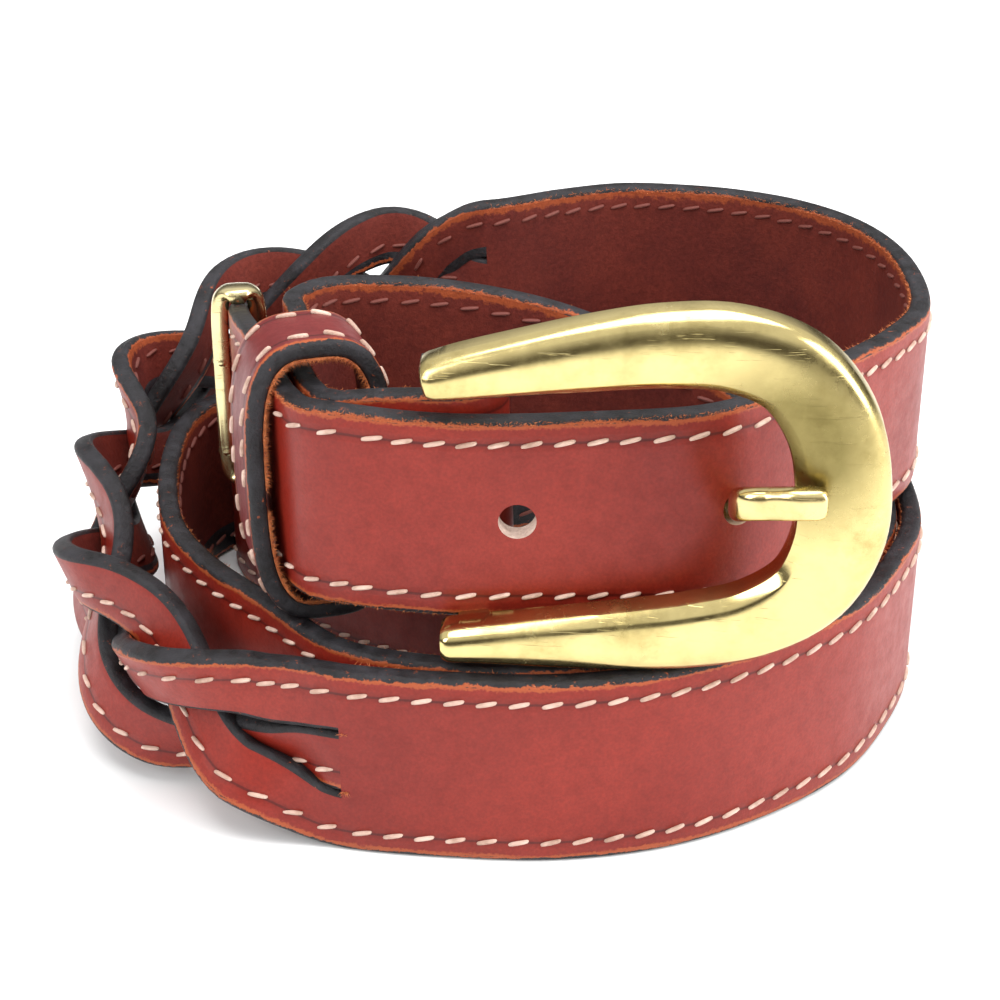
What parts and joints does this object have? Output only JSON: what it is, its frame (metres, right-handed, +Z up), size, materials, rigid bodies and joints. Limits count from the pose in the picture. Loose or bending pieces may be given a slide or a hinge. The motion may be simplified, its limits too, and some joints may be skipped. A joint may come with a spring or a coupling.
{
  "type": "braided belt",
  "caption": "Leather belt with a plaited section, fastened and coiled on its edge: brass horseshoe buckle and prong, leather keeper, punched and stitched tip, small brass tip loop",
  "frame": {"origin": "on the floor under the middle of the coiled belt's box", "axes": "+X towards the buckle's bow, along the width of the coil; +Y from the buckle's side to the back of the coil; +Z up, across the strap"},
  "size_m": [0.1166, 0.1016, 0.071],
  "materials": {
    "strap_leather": "satin waxed bridle leather",
    "keeper_leather": "satin waxed bridle leather",
    "buckle_brass": "polished, lightly scratched",
    "loop_brass": "polished"
  },
  "bodies": {
    "root": {"buckle_strap": "strap_leather", "plait_strand_top": "strap_leather", "plait_strand_middle": "strap_leather", "plait_strand_bottom": "strap_leather", "tip_strap": "strap_leather", "keeper_loop": "keeper_leather", "buckle_frame": "buckle_brass", "buckle_prong": "buckle_brass", "tip_loop": "loop_brass"}
  },
  "joints": []
}
